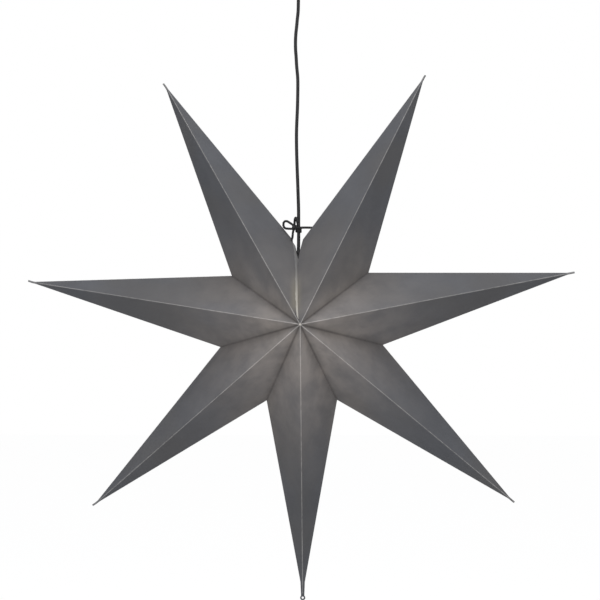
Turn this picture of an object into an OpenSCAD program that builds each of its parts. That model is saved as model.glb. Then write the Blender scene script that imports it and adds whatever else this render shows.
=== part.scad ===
// Paper advent star with its lamp holder, bulb, cord and ceiling fitting.
// The seven points are folded card, open towards the middle, and glued to their neighbours by
// flaps along the valleys. The seam at the top stays open and is tied shut round the cord.
// Z is up and the star's front faces -Y. The origin is the centre of the ceiling bracket's top
// face, and the star's own centre lies star_drop below it.

/* [Star] */
// Distance from the star's centre to where the four folds of a point would meet
point_len = 492; // [440:1:560]
// The same for the bottom point, which ends in a hanging tab
bottom_point_len = 483; // [440:1:560]
// Distance from the star's centre to the outer ends of the valleys
valley_len = 150.75; // [130:0.25:180]
// Distance from the star's mid plane to its front and back peaks
half_depth = 130; // [110:1:160]
// Angles between the points, going up the right side from the bottom point
right_steps = [49.7, 50.6, 52.9]; // [46:0.1:54]
// Angles between the points, going up the left side from the bottom point
left_steps = [49.1, 49.9, 51.5]; // [46:0.1:54]
// Direction of the bottom point, clockwise from straight up
bottom_dir = 179.7; // [175:0.1:185]
// Sideways distance from the cord's line to the star's centre
star_shift = 5.2; // [0:0.1:6]
// Depth of the star's centre below the ceiling
star_drop = 690; // [660:1:760]

/* [Card] */
// Thickness of the card
card_t = 0.5; // [0.3:0.05:0.8]
// Width of the glue flaps along the valleys
flap_w = 12; // [8:0.5:16]
// Width of the flaps along the open seam
seam_flap_w = 8; // [5:0.5:9]
// Thickness of the glue between two flaps
glue_t = 0.1; // [0.04:0.01:0.3]
// Distance of a flap's ends from the ends of its fold
flap_inset = 10; // [8:0.5:20]
// Width of the pressed end of a point
nib_w = 4.4; // [3:0.1:6]
// Width of that end at its cut edge
nib_end_w = 2.3; // [1.6:0.1:2.8]
// How far that end runs on past where the folds would meet
nib_over = 6; // [4:0.5:12]
// Radius of the small hole where the points meet at each peak
peak_hole_r = 2; // [1:0.1:4]

/* [Seam] */
// Opening between the two top corners of the seam
corner_gap = 19; // [16:0.5:24]
// How far the seam lies to the left of the line midway between the top points
corner_shift = 1.8; // [0:0.1:3]
// Width of the slit where the seam is drawn together
slit_gap = 5.2; // [2:0.1:8]
// Distance from the star's centre to the upper end of that slit
slit_top = 114; // [100:1:125]

/* [Hanging tab] */
// Width of the tab where it leaves the bottom point
tab_w = 7; // [6:0.1:9]
// Width of the tab beside its eyelet
tab_end_w = 5.4; // [5:0.1:7]
// Distance from where the tab starts to where the bottom point's folds would meet
tab_under = 24; // [16:1:32]
// Length over which the tab keeps its full width
tab_straight = 8; // [4:1:14]
// Thickness of the tab's folded card
tab_t = 1; // [0.8:0.1:1.6]
// Distance from where the bottom point's folds would meet to the eyelet
eyelet_over = 9; // [7:0.5:14]
// Distance between the eyelet's flange and the pressed end of the bottom point
eyelet_room = 3; // [1:0.5:5]
// Radius of the eyelet's hole
eyelet_hole_r = 2; // [1.5:0.1:2.4]
// Radius of the eyelet's flanges
eyelet_r = 4.7; // [4:0.1:6]
// Thickness of the eyelet's metal
eyelet_t = 0.3; // [0.2:0.05:0.5]

/* [Cord] */
// Diameter of the mains cord
cord_d = 6; // [5.4:0.1:6.2]
// Diameter of the tie string
string_d = 3.4; // [2.4:0.1:3.5]
// Diameter of the tie string where it is drawn tight round the cord
wrap_d = 1.9; // [1.4:0.1:2.2]
// Diameter of the insulated wires inside the cord
wire_d = 2; // [1.6:0.1:2.2]

/* [Lamp holder] */
// Height of the cord grip's top above the star's centre
grip_top = 131; // [128:0.5:134]
// Length of the tapered cord grip
grip_len = 27; // [22:0.5:30]
// Diameter of the grip at its thin end
grip_top_d = 8; // [7.8:0.1:8.6]
// Diameter of the grip at its thick end
grip_foot_d = 11; // [10:0.1:12]
// Outside diameter of the lamp holder's cap
cap_d = 40; // [38:0.5:44]
// Height of the cap's domed part
cap_dome_h = 24; // [20:0.5:28]
// Height of the cap's straight part
cap_side_h = 9; // [7:0.5:12]
// Outside diameter of the lamp holder's skirt
skirt_d = 43; // [42:0.5:46]
// Height of the skirt
skirt_h = 31; // [28:0.5:36]
// Wall thickness of the cap and the skirt
shell_t = 1.6; // [1.2:0.1:2.2]
// Outside diameter of the insert that carries the contacts
insert_d = 34; // [33:0.5:35]
// Thickness of the insert's top plate
insert_plate_t = 7; // [6:0.5:9]
// Inside diameter of the screw sleeve
sleeve_d = 27.2; // [27:0.1:28]
// Wall thickness of the screw sleeve
sleeve_t = 0.5; // [0.3:0.05:0.8]
// Height of the screw sleeve
sleeve_h = 20; // [18:0.5:24]

/* [Bulb] */
// Diameter of the bulb's screw cap
bulb_cap_d = 26.4; // [26:0.1:26.6]
// Length of the bulb's screw cap
bulb_cap_h = 24; // [22:0.5:27]
// Diameter of the bulb's globe
bulb_d = 60; // [50:1:70]
// Length of the whole bulb
bulb_len = 105; // [100:1:115]

/* [Ceiling fitting] */
// Outside diameter of the canopy cup
canopy_d = 100; // [96:1:120]
// Height of the canopy cup
canopy_h = 60; // [56:1:75]
// Wall thickness of the canopy cup
canopy_t = 1.2; // [1:0.1:2]
// Radius of the rounding at the canopy's lower edge
canopy_round = 12; // [6:0.5:16]
// Length of the canopy's tapered cord grip below the cup
canopy_grip_len = 25; // [18:0.5:30]
// Width of the ceiling bracket
bracket_w = 20; // [16:0.5:24]
// Thickness of the ceiling bracket
bracket_t = 2; // [1.5:0.1:3]
// Distance between the bracket's two ceiling screw holes
bracket_spacing = 60; // [50:1:64]
// Radius of the bracket's ceiling screw holes
bracket_hole_r = 2.6; // [2:0.1:3]
// Diameter of the screws that hold the canopy to the bracket
side_screw_d = 4; // [3:0.1:5]
// Length of the terminal block
block_len = 24; // [20:0.5:30]

/* [Hidden] */
$fn = 96;
clearance = 0.15;
soft_clearance = 0.3;
round_sides = 8;
POINT_NAMES = ["point_upper_right", "point_right", "point_lower_right", "point_bottom",
    "point_lower_left", "point_left", "point_upper_left"];

// Directions of the seven points, clockwise from straight up, in the order of their names.
dir_lower_right = bottom_dir - right_steps[0];
dir_right = dir_lower_right - right_steps[1];
dir_upper_right = dir_right - right_steps[2];
dir_lower_left = bottom_dir + left_steps[0];
dir_left = dir_lower_left + left_steps[1];
dir_upper_left = dir_left + left_steps[2];
point_dirs = [dir_upper_right, dir_right, dir_lower_right, bottom_dir,
    dir_lower_left, dir_left, dir_upper_left];
BOTTOM = 3;
LAST = 6;
eyelet_at = bottom_point_len + eyelet_over;
tab_start = bottom_point_len - tab_under;

// Directions of the seam's corners, and of its slit's right side.
degrees_per_mm = 180 / PI;
seam_mid = (dir_upper_right + dir_upper_left - 360) / 2;
seam_left = seam_mid - (corner_shift + corner_gap / 2) / valley_len * degrees_per_mm;
seam_right = seam_mid - (corner_shift - corner_gap / 2) / valley_len * degrees_per_mm;
slit_right = seam_left + slit_gap / slit_top * degrees_per_mm;

// A plane is its unit normal and its distance from the star's centre.
function plane_of(p, q, r) =
    let (n = cross(q - p, r - p), unit = n / norm(n), away = unit * p)
    away < 0 ? [-unit, -away] : [unit, away];
function polar(radius, angle, y = 0) = [radius * sin(angle), y, radius * cos(angle)];
function along(p, q, share) = p + (q - p) * share;
function on_plane(plane, radius, angle) =
    let (flat = polar(radius, angle))
    [flat.x, (plane[1] - plane[0] * flat) / plane[0].y, flat.z];

// The seven peaks' cut: how far the peak hole's plane lies behind the sharp peak.
usual_half = 360 / len(point_dirs) / 2;
usual_plane = plane_of([0, -half_depth, 0], polar(point_len, 0), polar(valley_len, usual_half));
peak_cut = half_depth * card_t / usual_plane[1] + peak_hole_r * half_depth / point_len;

// Half angles from a point's own direction to its valleys and to the ends of its folds.
// Two neighbours' valleys leave a glue line between them.
glue_angle = glue_t / 2 / valley_len * degrees_per_mm;
function valley_half(k, side) =
    side > 0 ? (k == LAST ? seam_left + 360 - point_dirs[k]
        : (point_dirs[k + 1] - point_dirs[k]) / 2 - glue_angle)
    : (k == 0 ? point_dirs[0] - seam_right : (point_dirs[k] - point_dirs[k - 1]) / 2 - glue_angle);
function fold_half(k, side) = k == 0 && side < 0 ? point_dirs[0] - slit_right : valley_half(k, side);
function len_of(k) = k == BOTTOM ? bottom_point_len : point_len;
function is_seam(k, side) = (k == 0 && side < 0) || (k == LAST && side > 0);

// The 33 corners of a point's card, with its own direction as +Z.
// First its ridges, pressed end and inner tip, then 12 corners for each side.
function side_plane(k, side) = plane_of([0, -half_depth, 0], polar(len_of(k), 0),
    polar(valley_len, side * valley_half(k, side)));
function inner_share(k) = 1 - card_t * 2 / (side_plane(k, 1)[1] + side_plane(k, -1)[1]);
function fold_end(k, side) = on_plane(side_plane(k, side), slit_top, side * fold_half(k, side));
function nib_start(k) =
    let (v = polar(valley_len, valley_half(k, 1)))
    len_of(k) - nib_w / 2 * (len_of(k) - v.z) / v.x;
function nib_end(k) = k == BOTTOM ? eyelet_at - eyelet_r - eyelet_room : len_of(k) + nib_over;
function both_faces(p) = [p, [p.x, -p.y, p.z]];
function at_cut(p, q) = along(p, q, (p.y + half_depth - peak_cut) / (p.y - q.y));
function ridge_corners(k) =
    let (share = inner_share(k), peak = [0, -half_depth, 0], tip = polar(len_of(k), 0),
        nib = nib_start(k))
    concat(both_faces(at_cut(peak, tip)), both_faces(at_cut(peak * share, tip * share)),
        both_faces(along(peak, tip, nib / len_of(k))), both_faces([0, -nib_end_w / 2, nib_end(k)]),
        [tip * share]);
function side_corners(k, side) =
    let (share = inner_share(k), peak = [0, -half_depth, 0], tip = polar(len_of(k), 0),
        valley = polar(valley_len, side * valley_half(k, side)), fold = fold_end(k, side),
        nib_share = (nib_start(k) - valley.z) / (tip.z - valley.z))
    concat([valley, valley * share, along(valley, tip, nib_share),
            [side * nib_end_w / 2, 0, nib_end(k)]],
        both_faces(at_cut(peak, fold)), both_faces(fold),
        both_faces(at_cut(peak * share, fold * share)), both_faces(fold * share));
function point_corners(k) = concat(ridge_corners(k), side_corners(k, 1), side_corners(k, -1));

// The faces of one quarter of a point, for face 0 (front) or 1 (back) and side 0 (right) or 1.
function flipped(faces) = [for (f = faces) [for (i = [len(f) - 1:-1:0]) f[i]]];
function quarter(face, side) =
    let (peak = face, in_peak = 2 + face, nib = 4 + face, end = 6 + face, in_tip = 8,
        first = 9 + 12 * side, valley = first, in_valley = first + 1, nib_side = first + 2,
        end_side = first + 3, cut = first + 4 + face, fold = first + 6 + face,
        in_cut = first + 8 + face, in_fold = first + 10 + face,
        faces = [[nib, nib_side, valley], [nib, valley, fold], [nib, fold, cut], [nib, cut, peak],
            [nib, end, end_side], [nib, end_side, nib_side],
            [in_tip, in_fold, in_valley], [in_tip, in_cut, in_fold], [in_tip, in_peak, in_cut],
            [cut, fold, in_fold, in_cut], [fold, valley, in_valley, in_fold],
            [peak, cut, in_cut, in_peak]])
    face == side ? faces : flipped(faces);
point_faces = concat(quarter(0, 0), quarter(0, 1), quarter(1, 0), quarter(1, 1), [[12, 6, 24, 7]]);

module at_star() translate([star_shift, 0, -star_drop]) children();

// A flap lies in the plane of its point's side, from the front fold inwards.
module flap(k, side, face) {
    fold = fold_end(k, side);
    inner = is_seam(k, side) ? [norm([fold.x, fold.z]), fold.y] : [valley_len, 0];
    start = [0, -half_depth];
    long = norm(inner - start);
    way = (inner - start) / long;
    inward = [-way.y, way.x];
    width = is_seam(k, side) ? seam_flap_w : flap_w;
    root = card_t / 2;
    outline = [start + way * flap_inset + inward * root,
        start + way * (long - flap_inset / 2) + inward * root,
        start + way * (long - flap_inset / 2 - width) + inward * width,
        start + way * (flap_inset + width) + inward * width];
    mirror([0, face, 0])
        rotate([0, side * fold_half(k, side), 0])
            translate([side > 0 ? -card_t - glue_t / 2 : glue_t / 2, 0, 0])
                rotate([90, 0, 90])
                    linear_extrude(card_t)
                        polygon([for (p = outline) [p.y, p.x]]);
}

// The tab of the bottom point is a flat strip with a round end.
module hanging_tab() {
    neck = eyelet_at - tab_end_w / 2;
    translate([0, tab_t / 2, 0])
        rotate([90, 0, 0])
            linear_extrude(tab_t)
                polygon([[-tab_w / 2, tab_start], [tab_w / 2, tab_start],
                    [tab_w / 2, tab_start + tab_straight], [tab_end_w / 2, neck],
                    [-tab_end_w / 2, neck], [-tab_w / 2, tab_start + tab_straight]]);
    translate([0, tab_t / 2, eyelet_at])
        rotate([90, 0, 0])
            cylinder(r = eyelet_r - eyelet_t * 2, h = tab_t);
}

module card_point(k) {
    color("dimgray")
        at_star()
            rotate([0, point_dirs[k], 0])
                difference() {
                    union() {
                        polyhedron(point_corners(k), point_faces);
                        for (side = [-1, 1])
                            for (face = [0, 1])
                                flap(k, side, face);
                        if (k == BOTTOM)
                            hanging_tab();
                    }
                    if (k == BOTTOM)
                        translate([0, half_depth / 2, eyelet_at])
                            rotate([90, 0, 0])
                                cylinder(r = eyelet_hole_r + eyelet_t + clearance / 2, h = half_depth);
                }
}

// The eyelet's barrel goes through the tab, and its flanges lie on both faces of it.
module tip_eyelet() {
    barrel_r = eyelet_hole_r + eyelet_t;
    half = tab_t / 2;
    color("silver")
        at_star()
            rotate([0, bottom_dir, 0])
                translate([0, 0, eyelet_at])
                    rotate([90, 0, 0])
                        rotate_extrude()
                            polygon([[eyelet_hole_r, -half - eyelet_t], [eyelet_r, -half - eyelet_t],
                                [eyelet_r, -half], [barrel_r, -half], [barrel_r, half],
                                [eyelet_r, half], [eyelet_r, half + eyelet_t],
                                [eyelet_hole_r, half + eyelet_t]]);
}

// A tube swept along a route. No part of a route runs along turn, which sets how its rings lie.
function unit(v) = v / norm(v);
function heading(route, i) =
    unit(route[min(i + 1, len(route) - 1)] - route[max(i - 1, 0)]);
function ring(centre, way, turn, r, sides) =
    let (across = unit(cross(way, turn)), other = cross(across, way))
    [for (i = [0:sides - 1])
        centre + r * (cos(i * 360 / sides) * across + sin(i * 360 / sides) * other)];
function curve_point(a, b, c, d, t) =
    (2 * b + (c - a) * t + (2 * a - 5 * b + 4 * c - d) * t * t
        + (3 * b - a - 3 * c + d) * t * t * t) / 2;
function smooth(route, steps) =
    let (last = len(route) - 1)
    concat([for (i = [0:last - 1]) for (j = [0:steps - 1])
        curve_point(route[max(i - 1, 0)], route[i], route[i + 1], route[min(i + 2, last)],
            j / steps)], [route[last]]);

module tube(route, r, turn = [0, 1, 0], sides = round_sides) {
    rings = len(route);
    corners = [for (i = [0:rings - 1]) each ring(route[i], heading(route, i), turn, r, sides)];
    walls = [for (i = [0:rings - 2]) for (j = [0:sides - 1])
        let (a = i * sides + j, b = i * sides + (j + 1) % sides)
        each [[a, b, b + sides], [a, b + sides, a + sides]]];
    first_end = [for (j = [sides - 1:-1:0]) j];
    last_end = [for (j = [0:sides - 1]) (rings - 1) * sides + j];
    polyhedron(corners, concat(walls, [first_end, last_end]));
}

// Heights on the cord are above the star's centre, and the cord's line is x = 0.
module at_holder() translate([0, 0, -star_drop]) children();

cord_route = [[0, 0, 106], [0, 0, 118], [0, 0, 131], [0.4, 0, 142], [0.5, 0, 160],
    [0.4, 0, 185], [0.2, 0.5, 210], [-1.3, 1, 255], [-2.9, 1.5, 300], [-3.4, 1.5, 343],
    [-1.6, 1.5, 391], [-1, 1, 425], [-1.3, 1, 443], [-3.1, 1, 463], [-4.1, 1, 480],
    [-5, 0.5, 492], [-5.2, 0.5, 507], [-4.5, 0, 521], [-3.1, 0, 534], [-1.8, 0, 548],
    [-0.4, 0, 562], [0, 0, 582], [0, 0, 605], [0, 0, 620], [0, 0, 637]];

module mains_cord() {
    color([0.12, 0.12, 0.12])
        at_holder()
            tube(smooth(cord_route, 2), cord_d / 2);
}

// The tie string: two turns round the cord, a knot, a bow loop to the left, a small one
// standing up, and one end to each of the two top points.
bow_loop = [[-6, -5.4, 174], [-10, -5.8, 177], [-14.5, -6, 180], [-18.5, -6, 182.6],
    [-22.5, -6, 183.6], [-25.8, -6, 181.6], [-26.7, -6, 177.6], [-26, -6, 173.7],
    [-23, -6, 171.2], [-17, -6, 170.8], [-11, -5.8, 170.6], [-6, -5.4, 170.2]];
small_loop = [[-7, -5.4, 173], [-7, -5.3, 177.5], [-6.7, -5.2, 182], [-6.4, -5.3, 186],
    [-5.4, -6.2, 189.2], [-3.9, -7.7, 189.4], [-2.9, -8.5, 186.5], [-2.2, -8.2, 182.5],
    [-1.2, -7.2, 179], [-1.4, -6.2, 176], [-3.2, -5.6, 173]];
right_end = [[-4, -5.6, 171.8], [3, -5.6, 171.8], [10, -2, 172.2], [17, 2.2, 172.4],
    [22.5, 4.6, 172.4], [26.5, 5.4, 172.4]];
left_end = [[-6.5, -5.6, 170.5], [-8.8, -5.7, 166.5], [-9.9, -5.6, 160], [-11, -5.4, 154],
    [-12.2, -5.6, 149.5]];
knot = [-5.8, -5.4, 171.6];
knot_r = 3.4;
wrap_heights = [164.8, 167.2];
wrap_shift = 0.3;

module tie_string() {
    wrap_r = cord_d / 2 + soft_clearance + wrap_d / 2;
    color([0.1, 0.1, 0.1])
        at_holder() {
            union() {
                translate(knot)
                    sphere(knot_r, $fn = 12);
                for (strand = [bow_loop, small_loop, right_end, left_end])
                    tube(strand, string_d / 2);
            }
            for (height = wrap_heights)
                translate([wrap_shift, 0, height])
                    rotate_extrude()
                        translate([wrap_r, 0])
                            circle(d = wrap_d, $fn = 24);
        }
}

// Heights of the lamp holder's seams above the star's centre.
cap_top = grip_top - grip_len;
cap_shoulder = cap_top - cap_dome_h;
cap_rim = cap_shoulder - cap_side_h;
cord_bore = cord_d / 2 + clearance;
grip_flange_r = grip_foot_d / 2 + 1.5;
grip_edge = 1;

module cord_grip() {
    flange_h = 3;
    foot_r = grip_foot_d / 2;
    top_r = grip_top_d / 2;
    color([0.15, 0.15, 0.15])
        at_holder()
            rotate_extrude()
                polygon([[cord_bore, cap_top], [grip_flange_r, cap_top],
                    [grip_flange_r, cap_top + flange_h], [foot_r, cap_top + flange_h],
                    [top_r, grip_top - grip_edge], [top_r - grip_edge / 2, grip_top],
                    [cord_bore, grip_top]]);
}

// The cap is a thin dome whose top the cord grip stands on.
module holder_cap() {
    neck_r = grip_flange_r + 1;
    r = cap_d / 2;
    step = 7.5;
    dome = [for (a = [0:step:90]) [neck_r + (r - neck_r) * sin(a), cap_shoulder + cap_dome_h * cos(a)]];
    inside = [for (a = [90:-step:0])
        [neck_r + (r - shell_t - neck_r) * sin(a), cap_shoulder + (cap_dome_h - shell_t) * cos(a)]];
    color([0.15, 0.15, 0.15])
        at_holder()
            rotate_extrude()
                polygon(concat([[cord_bore, cap_top]], dome, [[r, cap_rim], [r - shell_t, cap_rim]],
                    inside, [[cord_bore, cap_top - shell_t]]));
}

// The skirt's collar stands inside the cap, and its ledge carries the insert.
collar_h = 6;
ledge_t = 2;
collar_r = cap_d / 2 - shell_t - clearance;
insert_bore_r = insert_d / 2 + clearance;
insert_wall_r = insert_d / 2 - 1.5;
insert_wall_over = 2;

module holder_skirt() {
    r = skirt_d / 2;
    ledge_r = insert_wall_r + clearance;
    color([0.15, 0.15, 0.15])
        at_holder()
            rotate_extrude()
                polygon([[insert_bore_r, cap_rim + collar_h], [collar_r, cap_rim + collar_h],
                    [collar_r, cap_rim], [r, cap_rim], [r, cap_rim - skirt_h],
                    [r - shell_t, cap_rim - skirt_h], [r - shell_t, cap_rim - ledge_t],
                    [ledge_r, cap_rim - ledge_t], [ledge_r, cap_rim], [insert_bore_r, cap_rim]]);
}

// The insert is a plate with a skirt of its own round the screw sleeve.
terminal_x = 10;
terminal_screw_r = 1.5;
terminal_head_r = 2.8;
terminal_head_h = 2;
terminal_screw_len = 6;
insert_top = cap_rim + insert_plate_t;
sleeve_r = sleeve_d / 2 + sleeve_t;
sleeve_lip = 4;

module holder_insert() {
    wall_h = sleeve_h + insert_wall_over;
    color([0.9, 0.9, 0.88])
        at_holder()
            difference() {
                rotate_extrude()
                    polygon([[0, cap_rim], [0, insert_top], [insert_d / 2, insert_top],
                        [insert_d / 2, cap_rim], [insert_wall_r, cap_rim],
                        [insert_wall_r, cap_rim - wall_h], [sleeve_r + clearance, cap_rim - wall_h],
                        [sleeve_r + clearance, cap_rim]]);
                for (side = [-1, 1])
                    translate([side * terminal_x, 0, insert_top - terminal_screw_len])
                        cylinder(r = terminal_screw_r + clearance, h = terminal_screw_len * 2);
            }
}

module screw_sleeve() {
    lip_r = sleeve_d / 2 - sleeve_lip;
    color("goldenrod")
        at_holder()
            rotate_extrude()
                polygon([[lip_r, cap_rim - sleeve_t], [lip_r, cap_rim], [sleeve_r, cap_rim],
                    [sleeve_r, cap_rim - sleeve_h], [sleeve_d / 2, cap_rim - sleeve_h],
                    [sleeve_d / 2, cap_rim - sleeve_t]]);
}

// The centre contact is a rivet head under the insert's plate, where the bulb's tip presses.
contact_h = 2;
contact_r = 3;

module centre_contact() {
    rim_r = 5;
    rim_t = 0.6;
    color("gold")
        at_holder()
            rotate_extrude()
                polygon([[0, cap_rim - contact_h], [contact_r, cap_rim - contact_h],
                    [contact_r, cap_rim - rim_t], [rim_r, cap_rim - rim_t],
                    [rim_r, cap_rim], [0, cap_rim]]);
}

// A slotted screw whose head stands on z = 0.
module screw(r, len, head_r, head_h) {
    slot_w = head_r / 4;
    translate([0, 0, -len])
        cylinder(r = r, h = len);
    difference() {
        cylinder(r = head_r, h = head_h);
        translate([-head_r * 2, -slot_w / 2, head_h / 2])
            cube([head_r * 4, slot_w, head_h]);
    }
}

module terminal_screws() {
    color("silver")
        at_holder()
            for (side = [-1, 1])
                translate([side * terminal_x, 0, insert_top])
                    screw(terminal_screw_r, terminal_screw_len - soft_clearance, terminal_head_r,
                        terminal_head_h);
}

// Each wire leaves the cord's end and comes down onto its terminal screw.
wire_x = wire_d / 2 + 0.2;

module holder_wires() {
    head_top = insert_top + terminal_head_h;
    color("saddlebrown")
        at_holder()
            for (side = [-1, 1])
                tube([for (p = [[wire_x, cord_route[0].z], [wire_x, 100], [wire_x + 1, 96], [7, 91],
                        [9.5, 86], [terminal_x, head_top + 3], [terminal_x, head_top]])
                    [side * p.x, 0, p.y]], wire_d / 2);
}

// The bulb is one sealed solid: tip, screw cap, neck and globe.
bulb_top = cap_rim - contact_h;

module bulb() {
    tip_r = 4;
    tip_h = 2.5;
    cap_r = bulb_cap_d / 2;
    cap_foot = bulb_top - tip_h - bulb_cap_h;
    globe_z = bulb_top - bulb_len + bulb_d / 2;
    neck_r = cap_r + 0.8;
    join = 50;
    step = 6.5;
    globe = [for (a = [join:step:180]) [bulb_d / 2 * sin(a), globe_z + bulb_d / 2 * cos(a)]];
    neck_drop = cap_foot - globe[0].y;
    neck = [for (t = [0:0.125:0.875])
        [neck_r + (globe[0].x - neck_r) * t * t * (3 - 2 * t) * (1 + t) / 2,
            cap_foot - neck_drop * t]];
    color([1, 0.97, 0.9])
        at_holder()
            rotate_extrude()
                polygon(concat([[0, bulb_top], [tip_r, bulb_top], [tip_r + 1, bulb_top - 1],
                    [cap_r - 3, bulb_top - tip_h], [cap_r, bulb_top - tip_h], [cap_r, cap_foot]],
                    neck, globe, [[0, globe_z - bulb_d / 2]]));
}

// Ceiling fitting. Heights here are measured from the ceiling.
canopy_r = canopy_d / 2;
grip_neck_r = cord_bore + 2;
screw_z = -10;
screw_bore_r = side_screw_d / 2 + clearance;
bracket_half = sqrt(pow(canopy_r - canopy_t - soft_clearance, 2) - pow(bracket_w / 2, 2));
grip_bottom = -canopy_h - canopy_grip_len;
flange_r = grip_neck_r + 3;
flange_t = 3;
nut_t = 4;
neck_top = canopy_t + nut_t + 1 - canopy_h;

module canopy_cup() {
    step = 15;
    outer = [for (a = [0:step:90])
        [canopy_r - canopy_round + canopy_round * cos(a), -canopy_h + canopy_round - canopy_round * sin(a)]];
    r = canopy_round - canopy_t;
    inner = [for (a = [90:-step:0])
        [canopy_r - canopy_round + r * cos(a), -canopy_h + canopy_round - r * sin(a)]];
    color("white")
        difference() {
            rotate_extrude()
                polygon(concat([[canopy_r - canopy_t, 0], [canopy_r, 0]], outer,
                    [[grip_neck_r + clearance, -canopy_h], [grip_neck_r + clearance, canopy_t - canopy_h]],
                    inner));
            for (side = [0, 180])
                rotate([0, 90, side])
                    translate([-screw_z, 0, canopy_r - canopy_t * 2])
                        cylinder(r = screw_bore_r, h = canopy_t * 3);
        }
}

module canopy_cord_grip() {
    color([0.15, 0.15, 0.15])
        rotate_extrude()
            polygon([[cord_bore, grip_bottom], [(grip_top_d - grip_edge) / 2, grip_bottom],
                [grip_top_d / 2, grip_bottom + grip_edge], [flange_r - 1, -canopy_h - flange_t],
                [flange_r, -canopy_h - flange_t], [flange_r, -canopy_h], [grip_neck_r, -canopy_h],
                [grip_neck_r, neck_top], [cord_bore, neck_top]]);
}

module grip_nut() {
    color("silver")
        translate([0, 0, canopy_t - canopy_h])
            difference() {
                cylinder(r = flange_r, h = nut_t, $fn = 6);
                translate([0, 0, -1])
                    cylinder(r = grip_neck_r + clearance, h = nut_t + 2);
            }
}

// The bracket is a flat strap with a cable hole and turned-down ends for the canopy's screws.
cable_hole_r = 6;
cable_hole_x = 12;
bracket_leg_h = 16;

module ceiling_bracket() {
    color("silver")
        difference() {
            union() {
                translate([-bracket_half, -bracket_w / 2, -bracket_t])
                    cube([bracket_half * 2, bracket_w, bracket_t]);
                for (side = [0, 1])
                    mirror([side, 0, 0])
                        translate([bracket_half - bracket_t, -bracket_w / 2, -bracket_leg_h])
                            cube([bracket_t, bracket_w, bracket_leg_h]);
            }
            for (side = [-1, 1])
                translate([side * bracket_spacing / 2, 0, -bracket_t - 1])
                    cylinder(r = bracket_hole_r, h = bracket_t + 2);
            translate([cable_hole_x, 0, -bracket_t - 1])
                cylinder(r = cable_hole_r, h = bracket_t + 2);
            for (side = [0, 180])
                rotate([0, 90, side])
                    translate([-screw_z, 0, bracket_half - bracket_t * 2])
                        cylinder(r = screw_bore_r, h = bracket_t * 3);
        }
}

module canopy_screws() {
    head_r = side_screw_d * 0.9;
    head_h = 2;
    past_leg = 3;
    color("silver")
        for (side = [0, 180])
            rotate([0, 90, side])
                translate([-screw_z, 0, canopy_r])
                    screw(side_screw_d / 2, canopy_r - bracket_half + bracket_t + past_leg, head_r,
                        head_h);
}

// The terminal block hangs under the bracket and joins the cord's wires to the supply.
block_w = 14;
block_h = 13;
block_x = -13;
pole_gap = block_len / 3;
block_bore_r = wire_d / 2 + 0.6;
block_bore_z = -bracket_t - 5;
block_screw_r = 1.6;
block_screw_y = 4;
block_screw_len = 5;
block_foot = -bracket_t - block_h;
groove_w = 1;
groove_h = 4;

module terminal_block() {
    color("ivory")
        difference() {
            translate([block_x - block_len / 2, -block_w / 2, block_foot])
                cube([block_len, block_w, block_h]);
            for (pole = [-1, 0, 1])
                translate([block_x + pole * pole_gap, 0, 0]) {
                    translate([0, block_w, block_bore_z])
                        rotate([90, 0, 0])
                            cylinder(r = block_bore_r, h = block_w * 2);
                    for (row = [-1, 1])
                        translate([0, row * block_screw_y, block_foot - 1])
                            cylinder(r = block_screw_r + clearance, h = block_bore_z - block_foot + 1);
                }
            for (gap = [-0.5, 0.5])
                translate([block_x + gap * pole_gap - groove_w / 2, -block_w, block_foot - 1])
                    cube([groove_w, block_w * 2, groove_h + 1]);
        }
}

module block_screws() {
    slot_w = 0.6;
    color("gold")
        for (pole = [-1, 0, 1])
            for (row = [-1, 1])
                translate([block_x + pole * pole_gap, row * block_screw_y,
                        block_bore_z - block_bore_r - block_screw_len])
                    difference() {
                        cylinder(r = block_screw_r, h = block_screw_len);
                        translate([-block_screw_r, -slot_w / 2, -1])
                            cube([block_screw_r * 2, slot_w, 1.8]);
                    }
}

// Each wire leaves the cord's end inside the canopy and enters one pole of the block.
module canopy_wires() {
    cord_end = cord_route[len(cord_route) - 1].z - star_drop;
    color("saddlebrown")
        for (side = [-1, 1])
            let (pole_x = block_x + side * pole_gap)
            tube([[side * wire_x, 0, cord_end], [side * wire_x, 0, cord_end + 5],
                [side * wire_x - 1, -1, cord_end + 9], [pole_x * 0.4 + side, -8, -34],
                [pole_x * 0.8, -15, -24], [pole_x, -19, -15], [pole_x, -17, -9],
                [pole_x, -12, block_bore_z], [pole_x, -3, block_bore_z]], wire_d / 2, [1, 0, 0]);
}

card_point(0);  // point_upper_right
card_point(1);  // point_right
card_point(2);  // point_lower_right
card_point(3);  // point_bottom
card_point(4);  // point_lower_left
card_point(5);  // point_left
card_point(6);  // point_upper_left
tip_eyelet();
tie_string();
mains_cord();
cord_grip();
holder_cap();
holder_skirt();
holder_insert();
screw_sleeve();
centre_contact();
terminal_screws();
holder_wires();
bulb();
canopy_cup();
canopy_cord_grip();
grip_nut();
ceiling_bracket();
canopy_screws();
terminal_block();
block_screws();
canopy_wires();
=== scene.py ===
# %% [markdown]
# # A paper advent star
# Seven points of dark grey card make the star. Each point is one sheet with folds, open towards
# the middle, and a lamp hangs inside on the black cord that the star is tied to. The solids
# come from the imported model, in metres, with z up and the front facing -y. Each cell below dresses
# one part of them.

# %% Load the model
import math
import bmesh
import bpy
from mathutils import Matrix, Vector


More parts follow.
